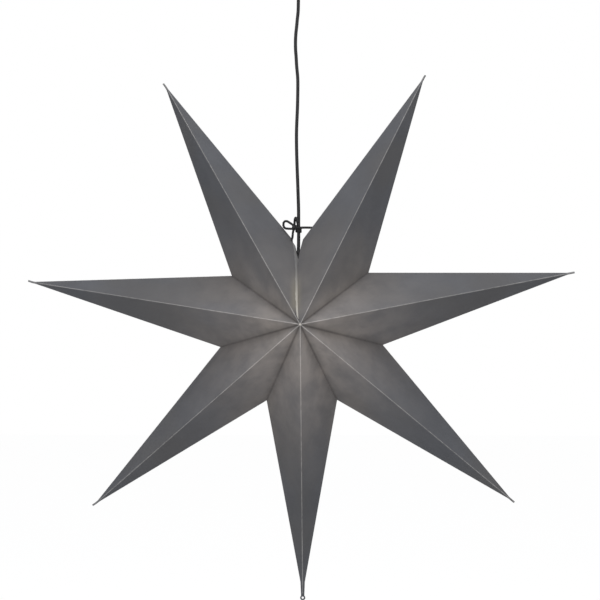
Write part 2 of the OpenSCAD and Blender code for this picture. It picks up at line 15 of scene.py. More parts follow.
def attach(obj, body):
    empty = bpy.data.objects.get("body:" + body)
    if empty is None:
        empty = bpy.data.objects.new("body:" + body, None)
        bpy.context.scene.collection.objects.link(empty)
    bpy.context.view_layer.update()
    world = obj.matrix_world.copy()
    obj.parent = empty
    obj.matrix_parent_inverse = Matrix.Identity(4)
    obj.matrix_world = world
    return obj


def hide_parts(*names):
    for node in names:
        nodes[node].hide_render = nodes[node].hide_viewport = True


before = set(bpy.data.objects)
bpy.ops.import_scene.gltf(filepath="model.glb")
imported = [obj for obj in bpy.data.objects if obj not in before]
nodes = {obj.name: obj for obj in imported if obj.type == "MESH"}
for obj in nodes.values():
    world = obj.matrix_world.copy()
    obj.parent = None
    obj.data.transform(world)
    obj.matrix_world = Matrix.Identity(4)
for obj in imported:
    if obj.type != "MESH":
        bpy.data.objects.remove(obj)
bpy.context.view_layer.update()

MM = 0.001

# %% [markdown]
# ## The camera
# The photograph looks straight at the star's centre from about two and a half metres. An 85 mm
# lens gives the small difference in size between the near peaks and the far folds.

# %% Camera
LENS_MM = 85
SENSOR_MM = 36
LOOK_AT = Vector((2.92, 0, -647.8)) * MM
DISTANCE = 2.545
AZIMUTH, ELEVATION = math.radians(0.91), math.radians(-0.24)

camera = bpy.data.objects.new("camera", bpy.data.cameras.new("camera"))
bpy.context.scene.collection.objects.link(camera)
bpy.context.scene.camera = camera
camera.data.lens, camera.data.sensor_width = LENS_MM, SENSOR_MM
back = Vector((math.sin(AZIMUTH) * math.cos(ELEVATION), -math.cos(AZIMUTH) * math.cos(ELEVATION),
               math.sin(ELEVATION)))
camera.location = LOOK_AT + back * DISTANCE
camera.rotation_euler = (-back).to_track_quat("-Z", "Y").to_euler()
print("camera stands at", [round(v, 3) for v in camera.location])

# %% [markdown]
# ## Nodes as expressions
# Materials and Geometry Nodes trees are both graphs of sockets. One small class wraps an output
# socket, so that a sum or a product in Python adds its Math node, and one method adds any
# other node. That keeps a recipe readable as a formula.


# %% Sockets with arithmetic
class Wire:
    """An output socket that can be added, multiplied and compared."""

    def __init__(self, graph, socket):
        self.graph, self.socket = graph, socket

    def math(self, operation, *values, clamp=False):
        return self.graph.node("ShaderNodeMath", {"operation": operation, "use_clamp": clamp},
                               dict(enumerate(values)))

    def __add__(self, other):
        return self.math("ADD", self, other)

    def __sub__(self, other):
        return self.math("SUBTRACT", self, other)

    def __rsub__(self, other):
        return self.math("SUBTRACT", other, self)

    def __mul__(self, other):
        return self.math("MULTIPLY", self, other)

    def __truediv__(self, other):
        return self.math("DIVIDE", self, other)

    __radd__, __rmul__ = __add__, __mul__

    def least(self, other):
        return self.math("MINIMUM", self, other)

    def step(self, low, high, start=0.0, end=1.0):
        """Goes smoothly from start to end while this value goes from low to high."""
        return self.graph.node("ShaderNodeMapRange", {"interpolation_type": "SMOOTHSTEP"},
                               {"Value": self, "From Min": low, "From Max": high,
                                "To Min": start, "To Max": end})


class Graph:
    """A node tree that nodes are added to."""

    def __init__(self, tree):
        self.tree = tree

    def feed(self, socket, value):
        if isinstance(value, Wire):
            self.tree.links.new(value.socket, socket)
        else:
            socket.default_value = value

    def node(self, kind, settings=None, inputs=None, output=0):
        made = self.tree.nodes.new(kind)
        for name, value in (settings or {}).items():
            setattr(made, name, value)
        for name, value in (inputs or {}).items():
            self.feed(made.inputs[name], value)
        return Wire(self, made.outputs[output]) if len(made.outputs) else None

    def vector(self, operation, *values, output=0):
        return self.node("ShaderNodeVectorMath", {"operation": operation}, dict(enumerate(values)),
                         output)

    def parts(self, vector):
        split = self.node("ShaderNodeSeparateXYZ", inputs={0: vector}).socket.node
        return [Wire(self, out) for out in split.outputs]

    def noise(self, where, scale, detail=2.0, roughness=0.5, seed=0.0):
        return self.node("ShaderNodeTexNoise", {"noise_dimensions": "4D"},
                         {"Vector": where, "W": seed, "Scale": scale, "Detail": detail,
                          "Roughness": roughness})


# %% [markdown]
# ## A material in a few lines
# Every finish here is one Principled shader. What is the same all over goes straight onto the
# shader's own sockets, and only colour, roughness, glow and bump are driven by nodes.


# %% Material helper
class Look(Graph):
    """A material with one Principled shader."""

    def __init__(self, name, **constants):
        self.material = bpy.data.materials.new(name)
        self.material.use_nodes = True
        super().__init__(self.material.node_tree)
        self.tree.nodes.clear()
        self.shader = self.tree.nodes.new("ShaderNodeBsdfPrincipled")
        output = self.tree.nodes.new("ShaderNodeOutputMaterial")
        self.tree.links.new(self.shader.outputs[0], output.inputs["Surface"])
        self.where = self.node("ShaderNodeTexCoord", output="Object")
        for socket, value in constants.items():
            self.set(socket.replace("_", " "), value)

    def set(self, socket, value):
        self.feed(self.shader.inputs[socket], value)

    def mix(self, share, start, end):
        """A colour between two, where each is a wire or three numbers."""
        colours = [c if isinstance(c, Wire) else (*c, 1.0) for c in (start, end)]
        made = self.tree.nodes.new("ShaderNodeMix")
        made.data_type = "RGBA"
        self.feed(made.inputs[0], share)
        self.feed(made.inputs[6], colours[0])
        self.feed(made.inputs[7], colours[1])
        return Wire(self, made.outputs[2])

    def bump(self, height, strength, distance):
        self.set("Normal", self.node("ShaderNodeBump", inputs={
            "Strength": strength, "Distance": distance, "Height": height}))


# %% [markdown]
# ## The cord
# A black round mains cord runs from the lamp holder's grip up into the ceiling fitting. It isn't
# quite straight: the weight has not pulled out the bends that it was packed with. A curve through
# the same points as the solid's, with a round bevel, is enough for a smooth plastic sheath.

# %% Cord route
STAR_DROP = 690
STAR_SHIFT = 5.2
CORD_D = 6
GRIP_TOP = 131
CORD_ROUTE = [(0, 0, 106), (0, 0, 118), (0, 0, 131), (0.4, 0, 142), (0.5, 0, 160), (0.4, 0, 185),
              (0.2, 0.5, 210), (-1.3, 1, 255), (-2.9, 1.5, 300), (-3.4, 1.5, 343),
              (-1.6, 1.5, 391), (-1, 1, 425), (-1.3, 1, 443), (-3.1, 1, 463), (-4.1, 1, 480),
              (-5, 0.5, 492), (-5.2, 0.5, 507), (-4.5, 0, 521), (-3.1, 0, 534), (-1.8, 0, 548),
              (-0.4, 0, 562), (0, 0, 582), (0, 0, 605), (0, 0, 620), (0, 0, 637)]


def at_holder(point):
    """A point given in mm above the star's centre, on the cord's line."""
    return Vector((point[0], point[1], point[2] - STAR_DROP)) * MM


def smooth(route, steps):
    """Points on a smooth line through a route."""
    line = []
    for i in range(len(route) - 1):
        a, b, c, d = (Vector(route[min(max(j, 0), len(route) - 1)]) for j in range(i - 1, i + 3))
        for t in (j / steps for j in range(steps)):
            line.append((2 * b + (c - a) * t + (2 * a - 5 * b + 4 * c - d) * t * t
                         + (3 * b - a - 3 * c + d) * t ** 3) / 2)
    return line + [Vector(route[-1])]


def curve_object(name, lines, bevel=0.0, shares=None):
    """A curve object with one open spline for each line of points, and its share of the radius."""
    data = bpy.data.curves.new(name, "CURVE")
    data.dimensions = "3D"
    data.bevel_depth, data.bevel_resolution, data.use_fill_caps = bevel, 5, bevel > 0
    for line, share in zip(lines, shares or [1.0] * len(lines)):
        spline = data.splines.new("POLY")
        spline.points.add(len(line) - 1)
        spline.use_smooth = True
        for point, place in zip(spline.points, line):
            point.co, point.radius = (*place, 1.0), share
    made = bpy.data.objects.new(name, data)
    bpy.context.scene.collection.objects.link(made)
    return made


cord = curve_object("cord", [[at_holder(p) for p in smooth(CORD_ROUTE, 5)]], CORD_D / 2 * MM)
print("cord points", len(cord.data.splines[0].points))

# %% [markdown]
# ## Sheath finish
# The sheath is smooth black plastic. Light from the side shows as a long soft highlight, and a
# faint unevenness in the gloss keeps it from looking like glass.

# %% Sheath material
sheath = Look("cord_sheath", IOR=1.5, Specular_IOR_Level=0.35)
uneven = sheath.noise(sheath.where, 160, detail=3)
sheath.set("Base Color", sheath.mix(uneven, (0.006, 0.006, 0.007), (0.012, 0.012, 0.013)))
sheath.set("Roughness", uneven * 0.14 + 0.45)
sheath.bump(sheath.noise(sheath.where, 300), 0.12, 0.0001)


def dress(piece, look):
    """Puts one finish on every slot of a piece."""
    if not len(piece.data.materials):
        piece.data.materials.append(look.material)
    for place in piece.material_slots:
        place.material = look.material


dress(cord, sheath)
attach(cord, "root")
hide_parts("mains_cord")

# %% [markdown]
# ## How a point is folded
# Seen along its own direction, a point has a ridge in front and one behind, which run from the
# star's peak to the point's end, and a fold on each side. Its neighbours meet it along the valleys
# from the peak to the corner between two points. The photograph's points aren't evenly spread, so
# every direction has its own value.

# %% Sizes of the star
POINT_LEN = 492
BOTTOM_POINT_LEN = 483
VALLEY_LEN = 150.75
HALF_DEPTH = 130
CARD_T = 0.5
GLUE_T = 0.1
BOTTOM_DIR = 179.7
RIGHT_STEPS = [49.7, 50.6, 52.9]
LEFT_STEPS = [49.1, 49.9, 51.5]
NAMES = ["point_upper_right", "point_right", "point_lower_right", "point_bottom",
         "point_lower_left", "point_left", "point_upper_left"]
BOTTOM, LAST = 3, 6
directions = [BOTTOM_DIR - sum(RIGHT_STEPS[:n]) for n in (3, 2, 1, 0)]
directions += [BOTTOM_DIR + sum(LEFT_STEPS[:n]) for n in (1, 2, 3)]
print("directions", [round(d, 1) for d in directions])

# %% Seam between the two upper points
CORNER_GAP, CORNER_SHIFT = 19, 1.8
per_mm = math.degrees(1)
seam_middle = (directions[0] + directions[LAST] - 360) / 2
seam_left = seam_middle - (CORNER_SHIFT + CORNER_GAP / 2) / VALLEY_LEN * per_mm
seam_right = seam_middle - (CORNER_SHIFT - CORNER_GAP / 2) / VALLEY_LEN * per_mm
glue_angle = GLUE_T / 2 / VALLEY_LEN * per_mm
print("seam runs from", round(seam_left, 2), "to", round(seam_right, 2), "degrees")


def valley_half(k, side):
    """Angle from a point's own direction to its valley on one side."""
    if k == LAST and side > 0:
        return seam_left + 360 - directions[k]
    if k == 0 and side < 0:
        return directions[0] - seam_right
    return abs(directions[k + side] - directions[k]) / 2 - glue_angle


def polar(radius, degrees):
    return Vector((radius * math.sin(math.radians(degrees)), 0,
                   radius * math.cos(math.radians(degrees))))


# %% [markdown]
# ## The sheet
# A flat facet lies between the ridge and a border that goes from the peak along the valley to the
# corner, and on to the point's end. Rows across it are square to the ridge, so each row's columns
# are set by their distance from the ridge. They crowd near both folds, where the card bends, and
# each corner remembers how far it is from the ridge, the side fold and the valley. The material
# and the waviness both use those three distances.

# %% Rows and columns
NIB_W, NIB_END_W, NIB_OVER = 4.4, 2.3, 6
PEAK_HOLE_R = 2
EYELET_AT, EYELET_R, EYELET_ROOM = 492, 4.7, 3
NEAR_FOLD = [0, 0.5, 1.3, 3.5, 10]
MIDDLE = [0.2, 0.32, 0.44, 0.56, 0.68, 0.8]
FULL_WIDTH = 60
VALLEY_ROWS, SIDE_ROWS, NIB_ROWS = 34, 38, 4
NIB_BEND = [0.5, 0, 0, 0, 1.2, 1.6, -1.2]


def columns(width):
    """Distances from the ridge, from 0 to the width."""
    near = [d * min(1, width / FULL_WIDTH) for d in NEAR_FOLD]
    return near + [m * width for m in MIDDLE] + [width - d for d in reversed(near)]


def length_of(k):
    return BOTTOM_POINT_LEN if k == BOTTOM else POINT_LEN


# The slit's two edges, from near the peak outwards, as (x, height) from the star's centre.
SEAM_FOLDS = {LAST: [(-6.8, 16), (-9.6, 49.5), (-10.9, 105)],
              0: [(-5.0, 16), (-4.6, 49.5), (-5.7, 105), (-4.4, 115.5), (-1.6, 131.7)]}
SEAM_FOLD_CORNER = 4


def is_seam(k, side):
    return (k == 0 and side < 0) or (k == LAST and side > 0)


class Facet:
    """One of a point's four flat sides, with the point's own direction as +z."""

    def __init__(self, k, side):
        length = length_of(k)
        self.k, self.side = k, side
        self.peak, self.tip = Vector((0, -HALF_DEPTH, 0)), polar(length, 0)
        self.valley = polar(VALLEY_LEN, side * valley_half(k, side))
        normal = (self.valley - self.peak).cross(self.tip - self.peak).normalized()
        self.normal = normal if normal.y < 0 else -normal
        self.ridge = self.tip - self.peak
        back_turn = Matrix.Rotation(math.radians(-directions[k]), 3, "Y")
        folds = SEAM_FOLDS[k] if is_seam(k, side) else []
        between = [self.on_plane(back_turn @ Vector((x, 0, z))) for x, z in folds]
        self.border = [self.peak, *between, self.valley, self.tip]
        self.fold_corner = SEAM_FOLD_CORNER if folds else 1
        self.stations = [self.station(p) for p in self.border]

    def on_plane(self, flat):
        flat.y = self.normal.dot(self.peak - flat) / self.normal.y
        return flat

    def station(self, point):
        return (point - self.peak).dot(self.ridge) / self.ridge.length_squared

    def row(self, share):
        """The ridge's and the border's place at one share of the ridge."""
        on_ridge = self.peak + self.ridge * share
        for i in range(len(self.border) - 1):
            low, high = self.stations[i], self.stations[i + 1]
            if share <= high + 1e-9:
                part = (share - low) / (high - low)
                return on_ridge, self.border[i].lerp(self.border[i + 1], part)
        return on_ridge, self.tip.copy()


# %% Distances to the folds
def segment_distance(point, a, b):
    part = (point - a).dot(b - a) / (b - a).length_squared
    return (point - a.lerp(b, min(max(part, 0), 1))).length


def shares_of(facet):
    """The shares of the ridge at which a facet has a row."""
    corner = facet.stations[-2]
    first = PEAK_HOLE_R / POINT_LEN
    on_ridge, on_border = facet.row(corner)
    nib = 1 - NIB_W / 2 / (on_border - on_ridge).length * (1 - corner)
    rows = [first + (corner - first) * i / VALLEY_ROWS for i in range(VALLEY_ROWS)]
    return rows + [corner + (nib - corner) * i / SIDE_ROWS for i in range(SIDE_ROWS + 1)]


test = Facet(0, 1)
print("facet normal", [round(v, 3) for v in test.normal], "rows", len(shares_of(test)))

# %% [markdown]
# ## Flaps
# Along each valley the sheet turns in and runs on as a glue flap, which lies flat against the
# neighbour's. On the open seam the flaps are narrow, except for one: the upper left point closes
# the slit with a strip that is tucked behind its neighbour's edge, which shows as a pale line
# because the card's finish paints a glow on it.
# The strip's free edge is a list of how far it reaches at each distance from the valley's end.

# %% Flap sizes
FLAP_W, SEAM_FLAP_W, CLOSING_W, TUCKED_W = 12, 8, 22, 2
FLAP_INSET = 10
CLOSING_LEAN = 3.0
CLOSING_EDGE = [(0, 0), (5.4, 9.8), (12.7, 14.6), (21, 11.6), (26.4, 14.6), (29, 18), (33, 22),
                (400, 22)]
FAR = 1000


def read_off(pairs, at):
    """The value at one place in a list of (place, value) pairs."""
    for (low, low_value), (high, high_value) in zip(pairs, pairs[1:]):
        if at <= high:
            return low_value + (high_value - low_value) * (at - low) / (high - low)
    return pairs[-1][1]


def flap_way(facet, front):
    """The direction in which a facet's flap runs from its fold, and the flap's width."""
    fold = (facet.border[facet.fold_corner] - facet.peak).normalized()
    outwards = Vector((fold.x, 0, fold.z)).cross(Vector((0, 1, 0))).normalized()
    outwards = outwards if outwards.x * facet.side > 0 else -outwards
    inwards = fold.cross(outwards).normalized()
    inwards = inwards if inwards.y > 0 else -inwards
    if is_seam(facet.k, facet.side) and front:
        if facet.k == LAST:
            return (inwards * CLOSING_LEAN + outwards).normalized(), CLOSING_W
        return inwards, TUCKED_W
    return inwards, SEAM_FLAP_W if is_seam(facet.k, facet.side) else FLAP_W


# %% [markdown]
# ## One sheet as a mesh
# The four facets and their flaps are written out as rows of quads, and corners that fall together
# are merged, which joins the sheet at its folds. The pressed end is a few more rows that close
# up to a small square. The corners at a fold are drawn in a little, so the fold is round.

# %% Sheet mesh
FOLD_ROUND = 0.22


def grid(mesh, layer, rows, flip):
    """Adds rows of (place, distances) as quads."""
    made = []
    for row in rows:
        line = []
        for place, marks in row:
            corner = mesh.verts.new(place)
            corner[layer] = marks
            line.append(corner)
        made.append(line)
    for a, b in zip(made, made[1:]):
        for i in range(len(a) - 1):
            quad = [a[i], a[i + 1], b[i + 1], b[i]]
            mesh.faces.new(quad[::-1] if flip else quad)


def facet_rows(facet, shares):
    rows = []
    for share in shares:
        on_ridge, on_border = facet.row(share)
        width = (on_border - on_ridge).length
        across = (on_border - on_ridge) / width
        row = []
        for i, d in enumerate(columns(width)):
            place = on_ridge + across * d
            to_valley = min(segment_distance(place, a, b)
                            for a, b in zip(facet.border[:-2], facet.border[1:-1]))
            marks = Vector((d, segment_distance(place, facet.valley, facet.tip), to_valley))
            if i == 0:
                place = place + Vector((0, FOLD_ROUND, 0))
            row.append((place, marks))
        rows.append(row)
    return rows


def nib_rows(facet, start):
    """The pressed end: from the last row to a small square, bent a little to one side."""
    tab_foot = EYELET_AT - EYELET_R - EYELET_ROOM
    end_z = tab_foot if facet.k == BOTTOM else length_of(facet.k) + NIB_OVER
    half = NIB_END_W / 2
    count = len(start)
    rows = [start]
    for j in range(1, NIB_ROWS + 1):
        t = j / NIB_ROWS
        row = []
        for i, (place, marks) in enumerate(start):
            part = i / (count - 1)
            goal = Vector((facet.side * half * part, -half * (1 - part), end_z))
            moved = place.lerp(goal, t)
            moved.x += NIB_BEND[facet.k] * t * t
            row.append((moved, marks))
        rows.append(row)
    return rows


def flap_rows(facet, shares, front):
    """The flap along a facet's fold, with ends cut at a slant."""
    way, width = flap_way(facet, front)
    fold = (facet.border[facet.fold_corner] - facet.peak).length
    closes = width == CLOSING_W
    end = fold if closes else fold - FLAP_INSET / 2
    rows = []
    for share in (s for s in shares if s <= facet.stations[facet.fold_corner] + 1e-9):
        place = facet.row(share)[1]
        along = (place - facet.peak).length
        edge = read_off(CLOSING_EDGE, end - along) if closes else end - along
        reach = min(along - FLAP_INSET, edge, width)
        if reach > (0.3 if closes else width * 0.2):
            marks = Vector((FAR, FAR, 0))
            rows.append([(place + way * reach * t, marks + Vector((0, 0, reach * t)))
                         for t in (0, 0.15, 0.5, 1)])
    return rows


# %% Bands between rings
def band(mesh, a, b, flip=False):
    """Joins two closed rings of corners with quads."""
    for i in range(len(a)):
        j = (i + 1) % len(a)
        quad = (a[i], a[j], b[j], b[i])
        mesh.faces.new(quad[::-1] if flip else quad)


# %% Tab with the eyelet's hole
TAB_W, TAB_END_W, TAB_T, TAB_START, TAB_STRAIGHT = 7, 5.4, 1, 459, 8
TAB_ROUND, TAB_HOLE = 4.1, 2.38
ROUND_STEPS = 24


def tab_outline():
    """The tab's outline round the hole, from its right shoulder over its round end."""
    turn = math.pi - math.asin(TAB_END_W / 2 / TAB_ROUND)
    arc = [(TAB_ROUND * math.sin(turn - 2 * turn * i / ROUND_STEPS),
            -TAB_ROUND * math.cos(turn - 2 * turn * i / ROUND_STEPS))
           for i in range(ROUND_STEPS + 1)]
    low, bend = TAB_START - EYELET_AT, TAB_START + TAB_STRAIGHT - EYELET_AT
    foot = [(-TAB_W / 2, -bend), (-TAB_W / 2, -low), (0, -low), (TAB_W / 2, -low),
            (TAB_W / 2, -bend)]
    return [(x, -z) for x, z in arc] + [(x, -z) for x, z in foot]


def add_tab(mesh, layer):
    outer = tab_outline()
    marks = Vector((6, 6, 50))
    rings = []
    for y in (-TAB_T / 2, TAB_T / 2):
        for outline in (outer, None):
            ring = []
            for i, (x, z) in enumerate(outer):
                if outline is None:
                    angle = math.atan2(x, z)
                    x, z = TAB_HOLE * math.sin(angle), TAB_HOLE * math.cos(angle)
                corner = mesh.verts.new((x, y, EYELET_AT + z))
                corner[layer] = marks
                ring.append(corner)
            rings.append(ring)
    front_out, front_in, back_out, back_in = rings
    for a, b in ((front_in, front_out), (front_out, back_out), (back_out, back_in),
                 (back_in, front_in)):
        band(mesh, a, b)


# %% [markdown]
# ## Waves in the card
# Card is never quite flat between two folds. A Geometry Nodes tree moves the sheet's corners by a
# soft noise, which fades out towards every fold so that neighbours still meet. It reads the three
# distances that the mesh carries.


# %% Wave tree
def new_tree(name, inputs):
    """A Geometry Nodes graph with named inputs, which gives the graph and its input wires."""
    tree = bpy.data.node_groups.new(name, "GeometryNodeTree")
    tree.interface.new_socket("Geometry", in_out="INPUT", socket_type="NodeSocketGeometry")
    tree.interface.new_socket("Geometry", in_out="OUTPUT", socket_type="NodeSocketGeometry")
    for label, kind, value in inputs:
        socket = tree.interface.new_socket(label, in_out="INPUT", socket_type="NodeSocket" + kind)
        if value is not None:
            socket.default_value = value
    graph = Graph(tree)
    entry = tree.nodes.new("NodeGroupInput")
    return graph, {out.name: Wire(graph, out) for out in entry.outputs if out.name}


def close_tree(graph, geometry, material):
    """Ends a tree with real geometry that has its material."""
    real = graph.node("GeometryNodeRealizeInstances", inputs={0: geometry})
    dressed = graph.node("GeometryNodeSetMaterial", inputs={"Geometry": real, "Material": material})
    graph.node("NodeGroupOutput", inputs={0: dressed})
    return graph.tree


graph, given = new_tree("card waves", [
    ("Wave height", "Float", 0.0008), ("Waves per metre", "Float", 9.0), ("Fade", "Float", 0.03),
    ("Seed", "Float", 0.0), ("Material", "Material", None)])
folds = graph.node("GeometryNodeInputNamedAttribute", {"data_type": "FLOAT_VECTOR"},
                   {"Name": "folds"})
ridge, side, valley = graph.parts(folds)
nearest = ridge.least(side).least(valley)
amount = nearest.math("DIVIDE", nearest, given["Fade"], clamp=True)
place = graph.node("GeometryNodeInputPosition")
wave = graph.noise(place, given["Waves per metre"], detail=1.5, seed=given["Seed"])
height = (wave - 0.5) * amount * given["Wave height"] * 2
offset = graph.vector("SCALE", graph.node("GeometryNodeInputNormal"))
graph.feed(offset.socket.node.inputs["Scale"], height)
moved = graph.node("GeometryNodeSetPosition", inputs={"Geometry": given["Geometry"],
                                                      "Offset": offset})
card_waves = close_tree(graph, moved, given["Material"])
print("card waves", len(card_waves.nodes), "nodes")

# %% [markdown]
# ## Card finish
# The card is dyed dark grey right through, with a matt, slightly fibrous face. Where it is folded
# the dye cracks and pale fibres show, which draws the thin light lines along the ridges. The lamp
# inside is on low; its light through the card is a painted glow, a faint warm grey emission round
# the middle, and painted shade darkens a band along each valley.

# %% Card material
STAR_CENTRE = Vector((STAR_SHIFT, 0, -STAR_DROP)) * MM
card = Look("card", Specular_IOR_Level=0.25, Sheen_Weight=0.08, Sheen_Roughness=0.6,
            Emission_Strength=1.0)
marks = card.node("ShaderNodeAttribute", {"attribute_name": "folds"}, output="Vector")
ridge, side, valley = card.parts(marks)
SLIT_X = -0.008
from_centre = card.vector("SUBTRACT", card.where, STAR_CENTRE)
across, _, up = card.parts(from_centre)
flat = card.vector("MULTIPLY", from_centre, (1, 0, 1))
reach = card.vector("LENGTH", flat, output="Value")
mottle = card.noise(card.where, 14, detail=4, roughness=0.6)
fibre = card.noise(card.where, 420, detail=4, roughness=0.7)
tint = card.noise(card.where, 7, detail=2, seed=3.0)
grey = card.mix(mottle.step(0.3, 0.7), (0.068, 0.071, 0.081), (0.090, 0.094, 0.105))
grey = card.mix(tint.step(0.42, 0.66, 0.0, 0.6), grey, (0.088, 0.084, 0.082))
grey = card.mix(fibre * 0.3, grey, (0.135, 0.134, 0.138))
broken = card.noise(card.where, 90, detail=3).step(0.3, 0.6, 0.55, 1.0)
pale = reach.step(0.05, 0.45, 0.58, 0.50) * broken
crease = ridge.step(0.0002, 0.0011, 1.0, 0.0) * pale
edge = side.step(0.0, 0.0012, 0.28, 0.0) * broken
off_slit = across - SLIT_X
off_slit = off_slit.math("ABSOLUTE", off_slit)
by_slit = off_slit.step(0.002, 0.013, 1.0, 0.0) * up.step(0.016, 0.036)
heading = card.parts(card.vector("NORMALIZE", flat))[2]
# Painted shade: a darker band along each valley, where neighbouring points shade the recess,
# stronger near the middle and weaker at the top.
dark = valley.step(0.0, 0.005, 0.40, 0.0) + valley.step(0.0, 0.020, 0.28, 0.0)
dark = dark * heading.step(0.90, 0.97, 1.0, 0.25) * reach.step(0.04, 0.12, 1.12, 0.78)
# Painted light: a warm tint in the base colour beside the slit, standing in for the lamp's light
# coming out of it.
grey = card.mix(by_slit * up.step(0.055, 0.085, 0.6, 0.0), grey, (0.105, 0.096, 0.074))
# The painted valley shade is mixed into the card's colour here.
colour = card.mix(dark, grey, (0.030, 0.028, 0.030))
colour = card.mix(crease.math("MAXIMUM", crease, edge), colour, (0.50, 0.485, 0.47))
card.set("Base Color", colour)
card.set("Roughness", fibre * 0.2 + 0.68)
card.bump(fibre * 0.6 + mottle * 0.4, 0.35, 0.0004)

# %% Painted glow of the lamp through the card
PAINTED_GLOW_REACH, PAINTED_GLOW_DROP = 0.34, 0.013
# Painted light: the lamp's light through the card is painted as an emission, brightest round the
# middle, in random patches, weaker at the top and in the painted valley shade.
patches = card.noise(card.where, 24, detail=3, roughness=0.6).step(0.28, 0.72, 0.64, 1.24)
closing = card.node("ShaderNodeAttribute", {"attribute_name": "closing"}, output="Fac")
lamp = card.vector("LENGTH", card.vector("ADD", flat, (0, 0, PAINTED_GLOW_DROP)), output="Value")
inside = 1 - lamp / PAINTED_GLOW_REACH
inside = inside.math("MAXIMUM", inside, 0.0)
way = heading.step(0.62, 0.92, 1.0, 0.45) * heading.step(-0.8, 0.2, 1.04, 1.0)
painted_glow = (inside * inside * 1.25).least(0.95) * patches * way * (1 - dark * 0.8)
painted_glow_colour = card.mix(painted_glow, (0.0, 0.0, 0.0), (0.142, 0.123, 0.107))
# Painted light: a warmer glow beside the slit, standing in for the lamp's light coming out of it.
painted_slit_glow = by_slit * up.step(0.070, 0.100, 1.0, 0.0) * across.step(-0.009, -0.007, 0.42, 0.28)
painted_glow_colour = card.mix(painted_slit_glow, painted_glow_colour, (0.165, 0.150, 0.118))
# Painted light: the closing strip glows pale cream near the middle, standing in for the lamp's light
# through it.
painted_strip_glow = card.mix(reach.step(0.03, 0.110, 1.0, 0.0), (0.10, 0.098, 0.095), (0.38, 0.36, 0.32))
card.set("Emission Color", card.mix(closing, painted_glow_colour, painted_strip_glow))
print("card material", len(card.tree.nodes), "nodes")

# %% [markdown]
# ## Folding the seven points
# Each sheet is built in its own frame, turned to its direction, waved, and given the card's
# thickness by Solidify, which adds it on the inside so that the outer faces stay where the
# solids' are.


# %% Finished mesh from modifiers
def finished(piece, name, smooth_angle=40):
    """Turns a piece and its modifiers into a plain mesh object at the origin."""
    graph = bpy.context.evaluated_depsgraph_get()
    mesh = bpy.data.meshes.new_from_object(piece.evaluated_get(graph), depsgraph=graph,
                                           preserve_all_data_layers=True)
    bpy.data.objects.remove(piece)
    mesh.name = name
    made = bpy.data.objects.new(name, mesh)
    bpy.context.scene.collection.objects.link(made)
    mesh.shade_smooth()
    mesh.set_sharp_from_angle(angle=math.radians(smooth_angle))
    return made


def grow(piece, tree, **values):
    """Adds a Geometry Nodes modifier and sets its named inputs."""
    modifier = piece.modifiers.new(tree.name, "NODES")
    modifier.node_group = tree
    for item in tree.interface.items_tree:
        key = item.name.replace(" ", "_")
        if item.in_out == "INPUT" and key in values:
            modifier[item.identifier] = values[key]
    return modifier


# %% Points
def point_mesh(k):
    """The sheet of one point as a bmesh, in mm, with the point's direction as +z."""
    mesh = bmesh.new()
    layer = mesh.verts.layers.float_vector.new("folds")
    right, left = Facet(k, 1), Facet(k, -1)
    for facet in (right, left):
        shares = sorted(set(shares_of(facet) + facet.stations[1:-1]))
        rows = facet_rows(facet, shares)
        blocks = [rows, nib_rows(facet, rows[-1])]
        for front in (True, False):
            for block in blocks + [flap_rows(facet, shares, front)]:
                turned = block if front else [[(Vector((p.x, -p.y, p.z)), m) for p, m in row]
                                              for row in block]
                grid(mesh, layer, turned, front == (facet.side > 0))
    bmesh.ops.remove_doubles(mesh, verts=mesh.verts, dist=0.02)
    return mesh, layer


def make_point(k):
    mesh, layer = point_mesh(k)
    if k == BOTTOM:
        add_tab(mesh, layer)
    close = mesh.verts.layers.float.new("closing")
    turn = Matrix.Rotation(math.radians(directions[k]), 4, "Y")
    place = Matrix.Translation(STAR_CENTRE) @ turn @ Matrix.Scale(MM, 4)
    for corner in mesh.verts:
        corner[layer] = corner[layer] * MM
        if k == LAST and corner[layer].x > 0.9 and corner.co.x > 0 and corner.co.y < 0:
            corner[close] = 1.0
    data = bpy.data.meshes.new("sheet")
    mesh.transform(place)
    mesh.to_mesh(data)
    mesh.free()
    piece = bpy.data.objects.new("sheet", data)
    bpy.context.scene.collection.objects.link(piece)
    grow(piece, card_waves, Seed=float(k), Material=card.material)
    wall = piece.modifiers.new("thickness", "SOLIDIFY")
    wall.thickness, wall.offset = CARD_T * MM, -1
    return finished(piece, "card_" + NAMES[k], 50)


points = []
for k, name in enumerate(NAMES):
    point = make_point(k)
    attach(point, "root")
    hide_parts(name)
    points.append(point)
    print(point.name, len(point.data.polygons), "faces")

# %% [markdown]
# ## The tie string
# Black cotton string is wound round the cord, knotted in front of it, and ends in a bow, a
# small standing loop and two ends that go to the two upper points. Real string is three twisted
# strands, so a Geometry Nodes tree sweeps a three-lobed outline along each path and turns it as it
# goes. The paths follow the solid's. The string is a little thicker than the solid's, because a
# thin dark line renders thinner than it is, and the knot and the turns are drawn more finely.

